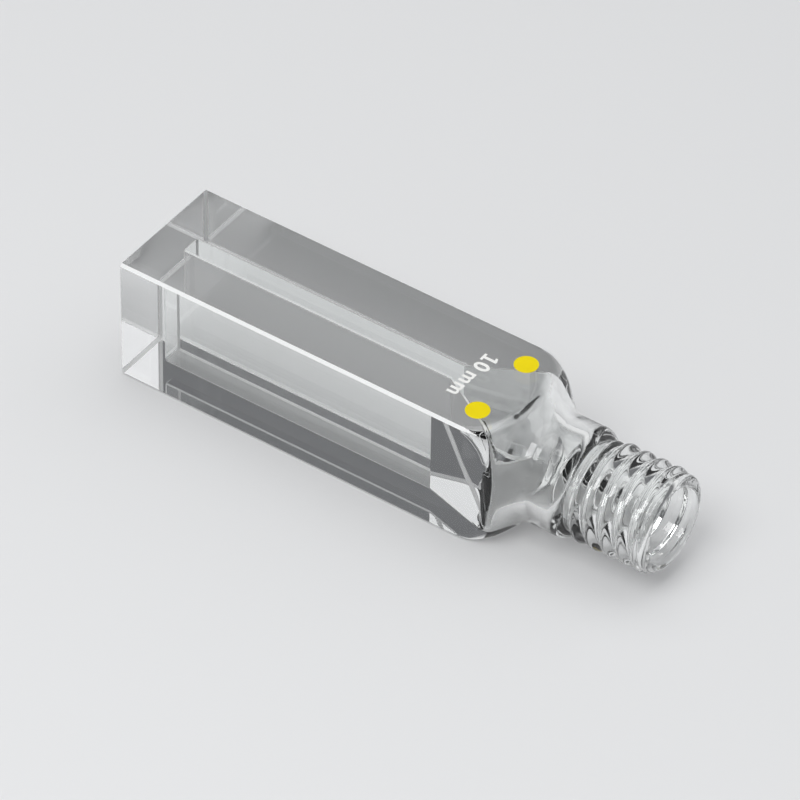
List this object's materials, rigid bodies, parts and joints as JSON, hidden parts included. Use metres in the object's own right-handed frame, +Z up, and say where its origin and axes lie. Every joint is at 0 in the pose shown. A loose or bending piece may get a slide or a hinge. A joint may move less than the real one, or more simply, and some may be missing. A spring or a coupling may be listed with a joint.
{
  "type": "cuvette",
  "caption": "Square clear-glass micro cuvette with a narrow sample slot, a funnel and a round screw-thread neck, lying on one polished window.",
  "frame": {"origin": "middle of the resting window: half way along the cuvette, on its centre plane, at the floor", "axes": "+X from the closed base to the mouth, +Z up through the two windows along the light path, +Y across the sample slot"},
  "size_m": [0.053, 0.0126, 0.0125],
  "materials": {
    "glass": "polished, clear optical glass with finely ground edge bevels",
    "yellow_enamel": "fired enamel dots on the upper window",
    "white_enamel": "fired enamel path mark on the upper window"
  },
  "bodies": {
    "root": {"cuvette": "glass"}
  },
  "joints": []
}
